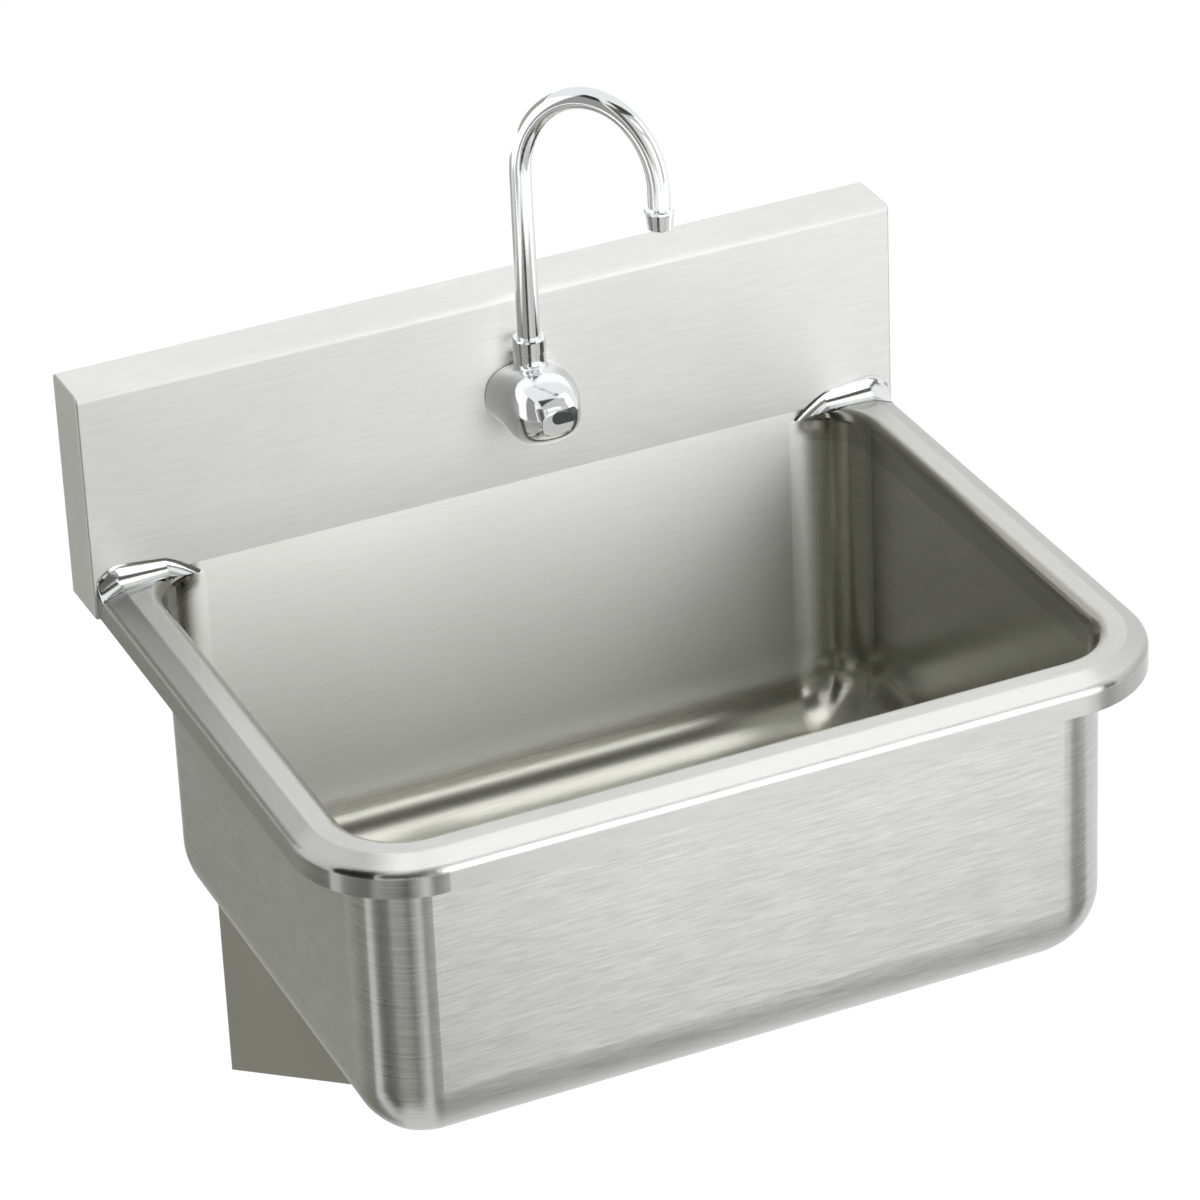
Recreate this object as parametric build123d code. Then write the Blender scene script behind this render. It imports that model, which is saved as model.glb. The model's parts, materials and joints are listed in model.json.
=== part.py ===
from build123d import *
import math
import os

# Wall-mounted hand sink with a sensor gooseneck tap, in millimetres.
# The origin is the centre of the wall hanger's screw line, on the wall plane (y = 0).
# +Z is up and the user stands at -Y.

# Sink body
width = 635.0
depth = 495.3
sheet = 1.9
splash_depth = 46.8
splash_height = 150.6
rim_height = 25.7
hang_drop = 38.1
lip_corner = 80.0
rim_taper = 3.5

# Rim section, from the lip's edge inwards
rim_inset = 36.4
slope_drop = 7.3
slope_run = 15.5
lip_bend = 6.0
crown_bend = 5.0
bead = 9.45
weld_cove = 10.0

# Bowl
bowl_drop = 259.0
bowl_taper = 4.5
bowl_corner = 43.6
back_corner = 45.0
floor_corner = 54.0
drain_y = -253.0
recess_depth = 3.0
recess_radius = 38.0

# Backsplash box
splash_bend = 5.0
hem_height = 25.0
hem_bend = 3.0
cap_flange = 12.0
cap_bend = 1.6

# Wall hanger
rail_length = 560.0
rail_sheet = 2.5
rail_below = 22.0
rail_lip = 16.0
hook_gap = 0.3
screw_hole = 3.5
outer_screws = 406.4
inner_screws = 203.2

# Gusset brackets
bracket_inset = 89.5
bracket_sheet = 3.0
bracket_drop = 207.0
bracket_reach = 368.0
bracket_flange = 38.0
bracket_hole = 4.25
bracket_hole_up = 34.0
bracket_hole_down = 164.0
stud_front = -310.0
stud_back = -120.0
stud_radius = 3.0
stud_length = 16.0
thread_gap = 0.02
nut_across = 10.0
nut_height = 5.0
washer_radius = 6.0
washer_sheet = 1.6

# Drain
drain_bore = 19.0
drain_tube = 23.5
drain_flange = 36.0
flange_sheet = 2.0
drain_length = 58.0
grid_seat = 20.4
grid_sheet = 1.2
grid_hole = 2.3
gasket_sheet = 3.0
slip_sheet = 1.0
locknut_height = 10.0
tail_radius = 19.05
tail_wall = 1.5
tail_length = 38.0
tail_neck = 18.6
slip_nut_radius = 29.0
slip_nut_lip = 3.0
tail_seal = 2.0
tail_flange = 1.5

# Tap
tap_x = 20.0
tap_above_rim = 73.8
neck_y = -62.0
tap_gasket = 1.5
body_length = 60.0
body_squareness = 2.6
nose_bend = 2.5
neck_blend = 4.0
gasket_inset = 0.7
inlet_rise = 2.0
shank_radius = 10.6
shank_bore = 6.5
shank_socket = 11.0
shank_tail = 34.8
inlet_radius = 8.3
inlet_length = 22.0
shank_nut_across = 30.0
shank_nut_height = 6.0
shank_washer = 16.0
neck_rise = 30.4
neck_floor = 13.6
bush_radius = 11.6
bush_height = 8.8
bush_thread = 10.2
bush_depth = 5.0
coupling_radius = 12.25
coupling_height = 10.5
coupling_thread = 6.0
collar_radius = 9.9
collar_height = 2.0
tube_radius = 8.35
tube_wall = 1.2
run_gap = 0.08
foot_lift = 4.4
arch_half_width = 52.0
arch_half_height = 65.0
arch_rise = 178.0
swivel_rest = 44.0
tip_straight = 21.0
outlet_top = 11.1
outlet_bottom = 9.2
outlet_length = 15.3
outlet_grip = 9.0

# Tap body: distance from the gasket, then half width, top and bottom there
body_stations = [
    (0.0, 30.0, 23.5, -22.5),
    (12.0, 30.0, 26.5, -22.0),
    (26.0, 29.0, 28.5, -24.0),
    (38.0, 27.2, 26.5, -25.0),
    (48.0, 23.5, 21.5, -21.2),
    (55.5, 18.0, 15.5, -15.0),
    (body_length, 12.0, 9.0, -8.0),
]

# Valve and sensor inside the tap
valve_reach = 36.0
coil_radius = 9.5
coil_gap = 0.1
coil_top = -3.0
plug_top = -17.0
plug_bottom = -20.0
chamber_radius = 8.5
seat_rise = 11.0
passage_rise = 16.0
seat_bore = 3.5
plunger_radius = 4.45
plunger_gap = 0.06
plunger_stroke = 1.2
seal_radius = 5.6
seal_height = 2.3
grub_radius = 1.6
grub_angle = 35.0
grub_tip = 19.3
grub_head = 25.2
lens_length = 21.0
lens_height = 10.5
lens_offset = 6.0
lens_rise = 4.6
lens_back = 53.5
module_back = 47.0
pocket_gap = 0.05

# Levels that follow from the sizes above
z_top = hang_drop
z_rim = z_top - splash_height
z_lip = z_rim - rim_height
z_floor = z_rim - bowl_drop
z_under = z_floor - sheet
y_splash = -splash_depth
y_sheet_back = y_splash + sheet
y_bowl_front = -(depth - rim_inset)
bowl_half = width / 2 - rim_inset
bracket_x = width / 2 - bracket_inset
z_hook = z_top - hem_height
z_tap = z_rim + tap_above_rim
z_neck = z_tap + neck_rise
z_seat = z_floor - recess_depth
z_drain_end = z_seat - drain_length
y_seat = y_splash - tap_gasket
z_inlet = z_tap + inlet_rise
valve_y = y_seat - valve_reach

LOW = (Align.CENTER, Align.CENTER, Align.MIN)


def rod(radius, length):
    return Cylinder(radius, length, align=LOW)


def ring(outer, inner, length):
    return rod(outer, length) - rod(inner, length)


def place(shape, point, direction=(0, 0, 1)):
    return Plane(origin=point, z_dir=direction).location * shape


def flat(edge):
    return edge.bounding_box().size.Z < 0.001


def upright(shape):
    return shape.edges().filter_by(Axis.Z)


def revolved(points):
    """Solid of revolution about Z from (radius, height) points."""
    outline = Polyline(*[(r, 0, z) for r, z in points], close=True)
    return revolve(make_face(outline), Axis.Z)


def hexagon(across, length):
    return extrude(RegularPolygon(across / math.sqrt(3), 6), length)


def mirrored(shape):
    return mirror(shape, Plane.YZ)


def rim_block(inset):
    """Rim envelope moved in by a sheet thickness: sloped, with its two rounded bends."""
    side = 2 * (width / 2 - inset)
    reach = depth - inset + y_splash
    height = rim_height - inset
    tilt = slope_drop / slope_run
    shift = inset * math.sqrt(1 + tilt * tilt)
    down = slope_drop - inset - tilt * inset + shift
    run = slope_run - inset + (shift - inset) / tilt
    narrow = side / 2 - rim_taper
    plan = Polyline((-narrow, 0), (narrow, 0), (side / 2, -reach), (-side / 2, -reach), close=True)
    block = extrude(make_face(plan), height).moved(Location((0, y_splash, z_lip)))
    corners = [e for e in upright(block) if e.center().Y < y_splash - 1]
    block = fillet(corners, lip_corner - inset)
    top = z_lip + height
    rim = [e for e in block.edges() if flat(e) and e.center().Z > top - 0.01 and e.center().Y < y_splash - 0.5]
    face = block.faces().sort_by(Axis.Z)[-1]
    block = chamfer(rim, run, down, reference=face)
    bends = [e for e in block.edges() if flat(e) and z_lip + 1 < e.center().Z < top - 0.1]
    bends = [e for e in bends if e.center().Y < y_splash - 0.5]
    block = fillet(bends, lip_bend - inset)
    crown = [e for e in block.edges() if flat(e) and e.center().Z > top - 0.01 and e.center().Y < y_splash - 0.5]
    return fillet(crown, crown_bend - inset)


def bowl_half_at(y):
    """Half width of the bowl: it narrows evenly from the front wall to the back wall."""
    return bowl_half - bowl_taper * (y - y_bowl_front) / (y_splash - y_bowl_front)


def bowl_block(offset):
    """Bowl hollow grown outwards by a sheet thickness, up to the rim's top."""
    front = y_bowl_front - offset
    back = y_splash + offset
    low = z_floor - offset
    wide = bowl_half_at(front) + offset
    narrow = bowl_half_at(back) + offset
    plan = Polyline((-narrow, back), (narrow, back), (wide, front), (-wide, front), close=True)
    block = extrude(make_face(plan), z_rim - low).moved(Location((0, 0, low)))
    block = fillet([e for e in upright(block) if e.center().Y < drain_y], bowl_corner + offset)
    block = fillet([e for e in upright(block) if e.center().Y > drain_y], back_corner + offset)
    block = fillet([e for e in block.edges() if e.center().Z < low + 0.01], floor_corner + offset)
    recess = place(rod(recess_radius + offset, recess_depth + 1), (0, drain_y, low - recess_depth))
    recess = fillet(recess.edges().sort_by(Axis.Z)[0], 1.0 + 0.5 * offset)
    return block + recess


def cove_section(point, along_wall, along_rim, normal, size):
    """One section of the polished weld cove between rim and backsplash."""
    bisector = (along_wall + along_rim).normalized()
    opening = along_wall.get_angle(along_rim) / 2
    reach = size / math.tan(math.radians(opening))
    centre = size / math.sin(math.radians(opening))
    wall_end = point + along_wall * reach
    rim_end = point + along_rim * reach
    middle = point + bisector * (centre - size)
    buried_rim = rim_end - normal * 0.8
    buried_wall = point - along_wall * 0.8
    edges = [
        Edge.make_three_point_arc(wall_end, middle, rim_end),
        Edge.make_line(rim_end, buried_rim),
        Edge.make_line(buried_rim, buried_wall),
        Edge.make_line(buried_wall, wall_end),
    ]
    return Face(Wire(edges))


def cove_right():
    """Polished weld cove on the right rim end, fading out at the bowl's back corner."""
    tilt = math.atan2(slope_drop, slope_run)
    half = width / 2 - rim_taper
    sections = []
    wall_y = y_splash

    def rim_station(x, z, angle):
        up = Vector(math.sin(angle), 0, math.cos(angle))
        sections.append(cove_section(Vector(x, wall_y, z), up, Vector(0, -1, 0), up, weld_cove))

    bend_z = z_rim - slope_drop - lip_bend * math.tan((math.pi / 2 - tilt) / 2)
    for step in (0.25, 0.6, 1.0):
        angle = math.pi / 2 + (tilt - math.pi / 2) * step
        x = half - lip_bend + lip_bend * math.sin(angle)
        rim_station(x, bend_z + lip_bend * math.cos(angle), angle)
    edge = crown_bend * math.tan(tilt / 2)
    crown_x = half - slope_run - edge
    for step in (0.0, 0.5, 1.0):
        angle = tilt * (1 - step)
        x = crown_x + crown_bend * math.sin(angle)
        rim_station(x, z_rim - crown_bend + crown_bend * math.cos(angle), angle)
    centre_x = bowl_half_at(y_splash - back_corner) - back_corner
    for step in range(0, 9):
        roll = math.radians(5 + 9 * step)
        spread = bead * (1 - math.sin(roll))
        plan = math.acos(back_corner / (back_corner + spread))
        x = centre_x + (back_corner + spread) * math.sin(plan)
        z = z_rim - bead + bead * math.cos(roll)
        inward = Vector(-math.sin(plan), -math.cos(plan), 0)
        normal = inward * math.sin(roll) + Vector(0, 0, 1) * math.cos(roll)
        plane_normal = Vector(0, -1, 0)
        tangent = normal.cross(plane_normal).normalized()
        along_wall = plane_normal.cross(tangent).normalized()
        along_rim = tangent.cross(normal).normalized()
        if along_wall.dot(normal) < 0:
            along_wall = along_wall * -1
        if along_rim.dot(plane_normal) < 0:
            along_rim = along_rim * -1
        sections.append(cove_section(Vector(x, wall_y, z), along_wall, along_rim, normal, weld_cove))
    cove = Part(Solid.make_loft([s.outer_wire() for s in sections], True).wrapped)
    side = Box(20, 80, 100, align=(Align.MIN, Align.CENTER, Align.CENTER))
    rear = Box(200, 20, 100, align=(Align.CENTER, Align.MIN, Align.CENTER))
    cove = cove - side.moved(Location((half, y_splash, z_rim)))
    return cove - rear.moved(Location((half - 30, y_splash, z_rim)))


def bowl_shell():
    """Drawn bowl with its sloping rim and open-bottomed lip, one skin all over."""
    cavity = bowl_block(0)
    solid = rim_block(0) - cavity
    inner = [
        e for e in solid.edges()
        if flat(e) and abs(e.center().Z - z_rim) < 0.01
        and abs(e.center().X) < bowl_half + 0.1
        and y_bowl_front - 0.1 < e.center().Y < y_splash - 0.5
    ]
    solid = fillet(inner, bead)
    skin = bowl_block(sheet) - cavity
    lower = Box(2 * width, 2 * width, 600, align=(Align.CENTER, Align.CENTER, Align.MAX))
    back = Box(2 * width, 2 * sheet, 600, align=(Align.CENTER, Align.MIN, Align.CENTER))
    solid = solid + (skin & lower.moved(Location((0, 0, z_lip + 2))))
    solid = solid + (skin & back.moved(Location((0, y_splash, z_rim))))
    under = rim_block(sheet)
    below = extrude(under.faces().sort_by(Axis.Z)[0], 2, dir=(0, 0, -1))
    under = under + below - bowl_block(sheet)
    upper = [
        e for e in under.edges()
        if flat(e) and abs(e.center().Z - (z_rim - sheet)) < 0.01
        and abs(e.center().X) < bowl_half + sheet + 0.1
        and y_bowl_front - sheet - 0.1 < e.center().Y < y_splash - 0.5
    ]
    under = fillet(upper, bead - sheet)
    shell = solid - under
    shell = shell - place(rod(drain_tube + 1.0, 20), (0, drain_y, z_floor - recess_depth - 10))
    cove = cove_right()
    return shell + cove + mirrored(cove)


def splash_box(inset, length):
    """Rounded box of the backsplash, moved in by a sheet thickness."""
    box = Box(
        length, splash_depth - 2 * inset, z_top - z_lip - inset,
        align=(Align.CENTER, Align.MAX, Align.MIN),
    ).moved(Location((0, -inset, z_lip)))
    top = [e for e in box.edges().filter_by(Axis.X) if e.center().Z > z_rim]
    box = fillet([e for e in top if e.center().Y < y_splash / 2], splash_bend - inset)
    top = [e for e in box.edges().filter_by(Axis.X) if e.center().Z > z_rim + 1]
    return fillet([e for e in top if e.center().Y > -inset - 1], hem_bend - inset)


def backsplash_panel():
    """Front sheet, top bend, top return and rear hem, notched for the bowl."""
    length = width - 2 * sheet
    panel = splash_box(0, length) - splash_box(sheet, length)
    rear = Box(length, sheet + 1, z_hook - z_lip, align=(Align.CENTER, Align.MAX, Align.MIN))
    panel = panel - rear.moved(Location((0, 0.5, z_lip)))
    grown = back_corner + sheet
    centre_x = bowl_half_at(y_splash - back_corner) - back_corner
    half_notch = centre_x + math.sqrt(grown * grown - back_corner * back_corner)
    notch = Box(2 * half_notch, 3 * sheet, rim_height, align=(Align.CENTER, Align.CENTER, Align.MIN))
    panel = panel - notch.moved(Location((0, y_sheet_back, z_lip)))
    hole = place(rod(shank_radius + 0.6, 10), (tap_x, y_splash - 5, z_inlet), (0, 1, 0))
    return panel - hole


def end_cap_right():
    """End cap with a stiffening flange turned in along its rear edge."""
    cap = splash_box(0, 2 * sheet).moved(Location((width / 2 - sheet, 0, 0)))
    cap = cap - Box(2 * sheet, 2 * splash_depth, 400).moved(Location((width / 2 - 2 * sheet, 0, z_rim)))
    corner = [e for e in cap.edges() if abs(e.center().X - width / 2) < 0.01 and e.center().Y < -1]
    cap = fillet(corner, cap_bend)
    flange = Box(cap_flange, sheet, z_hook - z_lip - 40, align=(Align.MAX, Align.MAX, Align.MIN))
    flange = flange.moved(Location((width / 2 - sheet, 0, z_lip + 20)))
    return cap + flange


def wall_hanger():
    """Hanger rail whose upturned lip hooks in front of the sink's rear hem."""
    lip_back = -(sheet + hook_gap)
    lip_front = lip_back - rail_sheet
    outline = Polyline(
        (0, 0, -rail_below),
        (0, 0, z_hook),
        (0, lip_back, z_hook),
        (0, lip_back, z_hook + rail_lip),
        (0, lip_front, z_hook + rail_lip),
        (0, lip_front, z_hook - rail_sheet),
        (0, -rail_sheet, z_hook - rail_sheet),
        (0, -rail_sheet, -rail_below),
        close=True,
    )
    rail = extrude(make_face(outline), rail_length, dir=(1, 0, 0)).moved(Location((-rail_length / 2, 0, 0)))
    bends = [e for e in rail.edges().filter_by(Axis.X) if abs(e.center().Y - lip_front) < 0.01]
    rail = fillet(bends, 1.0)
    for x in (-outer_screws / 2, -inner_screws / 2, inner_screws / 2, outer_screws / 2):
        rail = rail - place(rod(screw_hole, 10), (x, -5, 0), (0, 1, 0))
    return rail


def bracket_right():
    """Triangular gusset: web, top flange under the bowl and wall flange."""
    top = z_under
    low = top - bracket_drop
    inner = bracket_x - bracket_flange
    outline = Polyline(
        (0, 0, low), (0, 0, top), (0, -bracket_reach, top),
        (0, -bracket_reach, top - bracket_sheet), close=True,
    )
    web = extrude(make_face(outline), bracket_sheet, dir=(1, 0, 0)).moved(Location((bracket_x - bracket_sheet, 0, 0)))
    shelf = Box(bracket_flange, bracket_reach - 60, bracket_sheet, align=(Align.MIN, Align.MIN, Align.MAX))
    shelf = shelf.moved(Location((inner, -bracket_reach + 4, top)))
    leg = Box(bracket_flange, bracket_sheet, bracket_drop - 18, align=(Align.MIN, Align.MAX, Align.MIN))
    leg = leg.moved(Location((inner, 0, low + 6)))
    shelf = fillet([e for e in upright(shelf) if e.center().X < inner + 1], 10)
    leg = fillet([e for e in leg.edges().filter_by(Axis.Y) if e.center().X < inner + 1], 10)
    bracket = web + shelf + leg
    outer_top = [
        e for e in bracket.edges().filter_by(Axis.Y)
        if abs(e.center().X - bracket_x) < 0.01 and abs(e.center().Z - top) < 0.01
    ]
    bracket = fillet(outer_top, 2.0)
    middle = bracket_x - bracket_flange / 2 - 1.5
    for drop in (bracket_hole_up, bracket_hole_down):
        bracket = bracket - place(rod(bracket_hole, 10), (middle, -5, top - drop), (0, 1, 0))
    for y in (stud_back, stud_front):
        bracket = bracket - place(rod(stud_radius + 0.4, 10), (middle, y, top - 8))
    return bracket


def at_studs(shape, drop):
    """The same small piece at each of the four weld studs."""
    middle = bracket_x - bracket_flange / 2 - 1.5
    spots = [(side * middle, y) for side in (-1, 1) for y in (stud_back, stud_front)]
    return [shape.moved(Location((x, y, z_under - drop))) for x, y in spots]


def weld_stud():
    stud = rod(stud_radius, stud_length).moved(Location((0, 0, -stud_length)))
    return chamfer(stud.edges().sort_by(Axis.Z)[0], 0.6)


def stud_washer():
    return ring(washer_radius, stud_radius + 0.2, washer_sheet).moved(Location((0, 0, -washer_sheet)))


def stud_nut():
    body = hexagon(nut_across, nut_height) - rod(stud_radius + thread_gap, nut_height)
    corner = nut_across / 2 + 1.2
    cone = revolved([(0, 0), (corner - 1.4, 0), (corner, 0.8), (corner, nut_height), (0, nut_height)])
    return (body & cone).moved(Location((0, 0, -nut_height)))


def drain_body():
    """Flanged drain body with a seat for the grid and a threaded outside."""
    top = z_seat + flange_sheet
    profile = [
        (drain_bore, z_drain_end),
        (drain_tube, z_drain_end),
        (drain_tube, z_seat),
        (drain_flange, z_seat),
        (drain_flange, z_seat + 0.6),
        (drain_flange - 2.5, top),
        (grid_seat + 2.0, top - 0.6),
        (grid_seat, top - 1.4),
        (grid_seat, top - 4.0),
        (drain_bore, top - 4.0),
    ]
    return revolved(profile).moved(Location((0, drain_y, 0)))


def grid_strainer():
    """Perforated disc that sits on the drain body's seat."""
    disc = rod(grid_seat - 0.1, grid_sheet)
    disc = fillet(disc.edges().sort_by(Axis.Z)[-1], 0.5)
    for radius, count in ((0, 1), (6.2, 6), (11.9, 12), (17.0, 18)):
        for index in range(count):
            angle = 2 * math.pi * index / count
            spot = Location((radius * math.cos(angle), radius * math.sin(angle), -1))
            disc = disc - rod(grid_hole, 5).moved(spot)
    return disc.moved(Location((0, drain_y, z_seat + flange_sheet - 4.0)))


def locknut(across_radius, bore, height, lugs, lug_radius):
    """Round nut with lugs for a spanner."""
    nut = rod(across_radius, height)
    for index in range(lugs):
        angle = 2 * math.pi * index / lugs
        spot = Location((across_radius * math.cos(angle), across_radius * math.sin(angle), 0))
        nut = nut + rod(lug_radius, height).moved(spot)
    return nut - rod(bore, height)


def on_tap(shape):
    """Place a shape built along +Z on the tap's own axis, standing off the backsplash."""
    return Plane(origin=(tap_x, y_seat, z_tap), x_dir=(1, 0, 0), z_dir=(0, -1, 0)).location * shape


def body_section(distance, half, top, bottom):
    """Closed squarish oval of the tap body, at a distance from the gasket face."""
    middle = (top + bottom) / 2
    tall = (top - bottom) / 2
    power = 2 / body_squareness
    points = []
    for index in range(16):
        angle = 2 * math.pi * (index + 0.5) / 16
        across = math.copysign(abs(math.cos(angle)) ** power, math.cos(angle))
        rise = math.copysign(abs(math.sin(angle)) ** power, math.sin(angle))
        points.append(Vector(tap_x + half * across, y_seat - distance, z_tap + middle + tall * rise))
    return Wire([Edge.make_spline(points, periodic=True)])


def on_inlet(shape):
    """Place a shape built along +Z on the inlet's axis, standing off the backsplash."""
    return on_tap(shape.moved(Location((0, inlet_rise, 0))))


def tap_outer():
    """Outside of the tap body: a squarish bulb that narrows to the wall and the nose."""
    bulb = Part(Solid.make_loft([body_section(*station) for station in body_stations]).wrapped)
    bulb = fillet(bulb.faces().sort_by(Axis.Y)[0].edges(), nose_bend)
    body = bulb + place(rod(bush_radius, neck_rise), (tap_x, neck_y, z_tap))
    joint = [
        e for e in body.edges()
        if z_tap + 10 < e.center().Z < z_neck - 0.2
        and abs(e.bounding_box().size.X - 2 * bush_radius) < 0.6
    ]
    return fillet(joint, neck_blend)


def lens_bar(length, height, front, back):
    """Stadium bar between two distances from the gasket face."""
    bar = extrude(SlotOverall(length, height), front - back)
    return on_tap(bar.moved(Location((lens_offset, lens_rise, back))))


def grub(radius, near, far):
    """Bar along the grub screw's line, between two distances from the tap's axis."""
    lean = math.radians(grub_angle)
    direction = (-math.sin(lean), 0, -math.cos(lean))
    start = (tap_x + near * direction[0], valve_y, z_tap + near * direction[2])
    return place(rod(radius, far - near), start, direction)


def tap_body():
    """Cast body: bulb with inlet socket, valve chamber, neck bore and sensor pocket."""
    cuts = [
        lens_bar(lens_length, lens_height, body_length + 5, module_back),
        on_inlet(rod(shank_radius + thread_gap, shank_socket)),
        on_inlet(rod(shank_bore, valve_reach - 5)),
        place(rod(coil_radius + coil_gap, 40 + coil_top), (tap_x, valve_y, z_tap - 40)),
        place(rod(chamber_radius, seat_rise - coil_top), (tap_x, valve_y, z_tap + coil_top)),
        place(rod(seat_bore, passage_rise - seat_rise), (tap_x, valve_y, z_tap + seat_rise)),
        place(rod(seat_bore, neck_y - valve_y), (tap_x, valve_y, z_tap + passage_rise), (0, 1, 0)),
        place(rod(tube_radius + run_gap, 40), (tap_x, neck_y, z_tap + neck_floor)),
        place(rod(bush_thread + thread_gap, 20), (tap_x, neck_y, z_neck - bush_depth)),
        grub(grub_radius + thread_gap, coil_radius, 2 * coil_radius + 20),
    ]
    body = tap_outer()
    for cut in cuts:
        body = body - cut
    return body


def tap_gasket_ring():
    distance, half, top, bottom = body_stations[0]
    outline = body_section(distance, half - gasket_inset, top - gasket_inset, bottom + gasket_inset)
    gasket = extrude(Face(outline), tap_gasket, dir=(0, 1, 0))
    return gasket - on_inlet(rod(shank_radius + 0.6, 4 * tap_gasket).moved(Location((0, 0, -2 * tap_gasket))))


def sensor_lens():
    """Domed window that follows the bulb's nose."""
    bar = lens_bar(lens_length - 2 * pocket_gap, lens_height - 2 * pocket_gap, body_length + 5, lens_back)
    return bar & tap_outer()


def sensor_module():
    """Sealed sensor block with its two eyes, behind the window."""
    block = lens_bar(lens_length - 0.6, lens_height - 0.6, lens_back - 1.0, module_back)
    for side in (-1, 1):
        eye = Cylinder(2.4, 1.0, align=LOW)
        block = block + on_tap(eye.moved(Location((lens_offset + side * 5.0, lens_rise, lens_back - 1.0))))
    return block


def tap_shank():
    """Inlet nipple through the backsplash, stepped down at the rear for the supply hose."""
    length = shank_socket + tap_gasket + shank_tail
    shoulder = length - inlet_length
    nipple = revolved([
        (shank_bore, 0),
        (shank_radius, 0),
        (shank_radius, shoulder - 1.0),
        (shank_radius - 1.0, shoulder),
        (inlet_radius, shoulder),
        (inlet_radius, length - 0.8),
        (inlet_radius - 0.8, length),
        (shank_bore, length),
    ])
    return place(nipple, (tap_x, y_seat - shank_socket, z_inlet), (0, 1, 0))


def shank_washer_ring():
    washer = ring(shank_washer, shank_radius + 0.2, washer_sheet)
    return place(washer, (tap_x, y_sheet_back, z_inlet), (0, 1, 0))


def shank_locknut():
    nut = hexagon(shank_nut_across, shank_nut_height)
    cone = revolved([
        (0, 0), (shank_nut_across / 2, 0), (shank_nut_across / 2 + 2.2, 1.2),
        (shank_nut_across / 2 + 2.2, shank_nut_height), (0, shank_nut_height),
    ])
    nut = (nut & cone) - rod(shank_radius + thread_gap, shank_nut_height)
    return place(nut, (tap_x, y_sheet_back + washer_sheet, z_inlet), (0, 1, 0))


def grub_screw():
    socket = grub(grub_radius / 2, grub_head - 1.8, grub_head + 1)
    return grub(grub_radius, grub_tip, grub_head) - socket


def service_plug():
    """Plug that closes the valve bore under the bulb."""
    plug = rod(coil_radius + coil_gap - thread_gap, plug_top - plug_bottom)
    plug = plug - hexagon(8.0, 2.0)
    return place(plug, (tap_x, valve_y, z_tap + plug_bottom))


def coil_housing():
    """Solenoid coil housing with the plunger's guide bore."""
    length = coil_top - plug_top
    coil = rod(coil_radius, length) - place(rod(plunger_radius + plunger_gap, length), (0, 0, 1.4))
    coil = coil - (ring(coil_radius + 1, coil_radius - 1.0, 3.0).moved(Location((0, 0, 3.5))))
    return place(coil, (tap_x, valve_y, z_tap + plug_top))


def plunger():
    """Plunger that drops to open the valve, with a spigot for its seal."""
    low = plug_top + 1.4 + plunger_stroke + 0.6
    high = seat_rise - seal_height
    body = rod(plunger_radius, high - low) + rod(2.0, high - low + 1.4)
    return place(body, (tap_x, valve_y, z_tap + low))


def plunger_seal():
    seal = rod(seal_radius, seal_height) - rod(2.02, 1.4)
    return place(seal, (tap_x, valve_y, z_tap + seat_rise - seal_height))


def neck_bush():
    """Lower ring of the neck: threaded into the body, threaded for the coupling nut."""
    bore = tube_radius + run_gap
    profile = [
        (bore, -bush_depth),
        (bush_thread, -bush_depth),
        (bush_thread, 0),
        (bush_radius, 0),
        (bush_radius, bush_height),
        (bush_thread, bush_height),
        (bush_thread, bush_height + coupling_thread),
        (bore, bush_height + coupling_thread),
    ]
    return place(revolved(profile), (tap_x, neck_y, z_neck))


def coupling_nut():
    """Upper ring: holds the spout's collar down on the bush."""
    under = coupling_thread + collar_height + 0.2
    profile = [
        (bush_thread + thread_gap, 0),
        (coupling_radius - 0.5, 0),
        (coupling_radius, 0.5),
        (coupling_radius, coupling_height - 0.9),
        (coupling_radius - 0.9, coupling_height),
        (tube_radius + run_gap, coupling_height),
        (tube_radius + run_gap, under),
        (bush_thread + thread_gap, under),
    ]
    return place(revolved(profile), (tap_x, neck_y, z_neck + bush_height))


z_foot = z_tap + neck_floor + foot_lift
z_foot_top = z_neck - 1.0


def spout_foot():
    """Machined foot brazed into the tube's lower end, with two O-ring grooves."""
    bore = 4.8
    spigot = tube_radius - tube_wall - 0.02
    groove = tube_radius - 1.75
    profile = [(bore, z_foot), (tube_radius - 0.5, z_foot), (tube_radius, z_foot + 0.5)]
    for low in (1.2, 4.8):
        profile += [
            (tube_radius, z_foot + low),
            (groove, z_foot + low),
            (groove, z_foot + low + 2.4),
            (tube_radius, z_foot + low + 2.4),
        ]
    profile += [
        (tube_radius, z_foot_top),
        (spigot, z_foot_top),
        (spigot, z_foot_top + 6),
        (bore, z_foot_top + 6),
    ]
    return place(revolved(profile), (tap_x, neck_y, 0))


def spout_o_rings():
    groove = tube_radius - 1.75
    thick = (tube_radius + run_gap - 0.05 - groove) / 2
    rings = []
    for low in (1.2, 4.8):
        donut = Torus(groove + thick, thick)
        rings.append(donut.moved(Location((tap_x, neck_y, z_foot + low + 1.2))))
    return rings


def spout_path():
    """Straight leg, tall arch and short straight tip, swivelled to the rest angle."""
    turn = math.radians(swivel_rest)
    plane = Plane(
        origin=(tap_x, neck_y, z_tap),
        x_dir=(math.sin(turn), -math.cos(turn), 0),
        z_dir=(-math.cos(turn), -math.sin(turn), 0),
    )
    leg = Line((0, z_foot_top - z_tap), (0, arch_rise))
    arch = EllipticalCenterArc(
        (arch_half_width, arch_rise), arch_half_width, arch_half_height,
        start_angle=0, arc_size=180,
    )
    tip = Line((2 * arch_half_width, arch_rise), (2 * arch_half_width, arch_rise - tip_straight))
    return Wire([leg.edge(), arch.edge(), tip.edge()]).moved(plane.location)


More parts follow.
